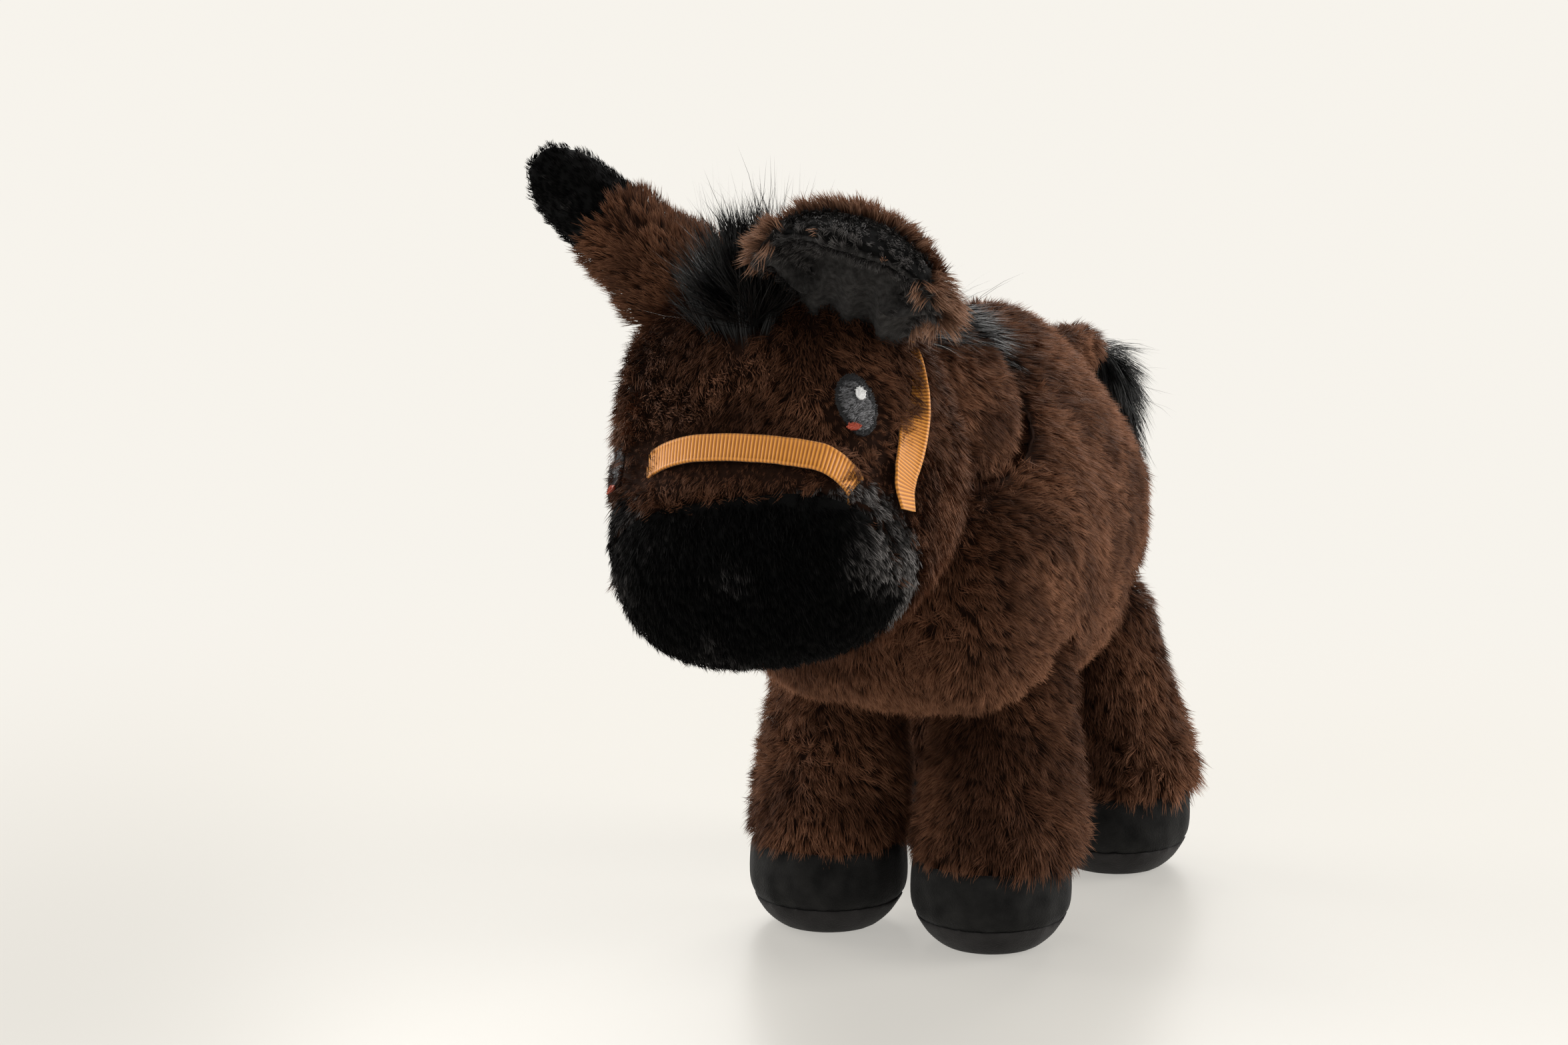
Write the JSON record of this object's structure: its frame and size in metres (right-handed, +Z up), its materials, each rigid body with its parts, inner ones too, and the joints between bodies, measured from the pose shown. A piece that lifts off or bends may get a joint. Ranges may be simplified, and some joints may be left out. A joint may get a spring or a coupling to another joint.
{
  "type": "plush donkey",
  "caption": "Stuffed toy donkey in long brown plush with black muzzle, mane, tail and hooves, a ribbon halter, and one ear flopped forward; it stands by itself.",
  "frame": {"origin": "on the floor under the middle of the outer box", "axes": "+Z up, the donkey looks along -Y, its left side is +X"},
  "size_m": [0.1708, 0.378, 0.2935],
  "materials": {
    "brown_plush": "long brushed pile",
    "black_plush": "short dense pile",
    "black_hair": "long loose pile",
    "black_nap": "very short nap",
    "ear_nap": "very short nap",
    "sole_nap": "very short nap",
    "ochre_ribbon": "ribbed grosgrain weave",
    "grey_thread": "satin stitch",
    "dark_thread": "satin stitch",
    "white_thread": "satin stitch",
    "red_thread": "satin stitch",
    "fibre_fill": "loose fibre",
    "pellet_bag": "pellets in a thin bag"
  },
  "bodies": {
    "torso": {"torso_cover": "brown_plush", "torso_stuffing": "fibre_fill"},
    "leg_front_left": {"leg_front_left_cover": "brown_plush", "leg_front_left_stuffing": "fibre_fill", "hoof_front_left": "black_nap", "hoof_front_left_sole": "sole_nap", "hoof_front_left_pellets": "pellet_bag"},
    "leg_front_right": {"leg_front_right_cover": "brown_plush", "leg_front_right_stuffing": "fibre_fill", "hoof_front_right": "black_nap", "hoof_front_right_sole": "sole_nap", "hoof_front_right_pellets": "pellet_bag"},
    "leg_hind_left": {"leg_hind_left_cover": "brown_plush", "leg_hind_left_stuffing": "fibre_fill", "hoof_hind_left": "black_nap", "hoof_hind_left_sole": "sole_nap", "hoof_hind_left_pellets": "pellet_bag"},
    "leg_hind_right": {"leg_hind_right_cover": "brown_plush", "leg_hind_right_stuffing": "fibre_fill", "hoof_hind_right": "black_nap", "hoof_hind_right_sole": "sole_nap", "hoof_hind_right_pellets": "pellet_bag"},
    "neck": {"neck_cover": "brown_plush", "neck_stuffing": "fibre_fill", "neck_mane": "black_hair"},
    "head": {"head_cover": "brown_plush", "muzzle_cover": "black_plush", "head_stuffing": "fibre_fill", "forelock": "black_hair", "eye_left_rim": "dark_thread", "eye_left_field": "grey_thread", "eye_left_glint": "white_thread", "eye_left_corner": "red_thread", "eye_right_rim": "dark_thread", "eye_right_field": "grey_thread", "eye_right_glint": "white_thread", "eye_right_corner": "red_thread", "noseband": "ochre_ribbon", "cheek_strap_left": "ochre_ribbon", "cheek_strap_right": "ochre_ribbon", "crown_strap": "ochre_ribbon"},
    "ear_left": {"ear_left_back": "brown_plush", "ear_left_tip": "black_plush", "ear_left_lining": "ear_nap"},
    "ear_right": {"ear_right_back": "brown_plush", "ear_right_tip": "black_plush", "ear_right_lining": "ear_nap"},
    "tail": {"tail_dock": "brown_plush", "tail_tuft": "black_hair"}
  },
  "joints": [
    {"name": "neck_turn", "type": "hinge", "parent": "torso", "child": "neck", "pos_m": [0.01612, -0.01765, 0.191], "axis": [-0.1988, -0.9354, 0.2924], "range_deg": [-10, 10], "stiffness_Nm_per_rad": 2.5},
    {"name": "head_nod", "type": "hinge", "parent": "neck", "child": "head", "pos_m": [0.00539, -0.06816, 0.20679], "axis": [0.9788, 0.1165, 0.1685], "range_deg": [-8, 2], "stiffness_Nm_per_rad": 2.5},
    {"name": "ear_left_flop", "type": "hinge", "parent": "head", "child": "ear_left", "pos_m": [0.04371, -0.12303, 0.2456], "axis": [-0.9334, -0.236, 0.2702], "range_deg": [-8, 20], "stiffness_Nm_per_rad": 0.1},
    {"name": "ear_right_flop", "type": "hinge", "parent": "head", "child": "ear_right", "pos_m": [-0.01861, -0.12032, 0.24545], "axis": [0.5271, 0.4566, 0.7167], "range_deg": [-5, 20], "stiffness_Nm_per_rad": 0.1},
    {"name": "leg_front_left_swing", "type": "hinge", "parent": "torso", "child": "leg_front_left", "pos_m": [0.05012, -0.00315, 0.096], "axis": [1, 0, 0], "range_deg": [-10, 10], "stiffness_Nm_per_rad": 2},
    {"name": "leg_front_right_swing", "type": "hinge", "parent": "torso", "child": "leg_front_right", "pos_m": [-0.01788, -0.00315, 0.096], "axis": [1, 0, 0], "range_deg": [-10, 10], "stiffness_Nm_per_rad": 2},
    {"name": "leg_hind_left_swing", "type": "hinge", "parent": "torso", "child": "leg_hind_left", "pos_m": [0.04212, 0.10485, 0.096], "axis": [1, 0, 0], "range_deg": [-10, 10], "stiffness_Nm_per_rad": 2},
    {"name": "leg_hind_right_swing", "type": "hinge", "parent": "torso", "child": "leg_hind_right", "pos_m": [-0.00988, 0.10485, 0.096], "axis": [1, 0, 0], "range_deg": [-10, 10], "stiffness_Nm_per_rad": 2},
    {"name": "tail_lift", "type": "hinge", "parent": "torso", "child": "tail", "pos_m": [0.01612, 0.13095, 0.19789], "axis": [1, 0, 0], "range_deg": [0, 50], "stiffness_Nm_per_rad": 0.1}
  ]
}
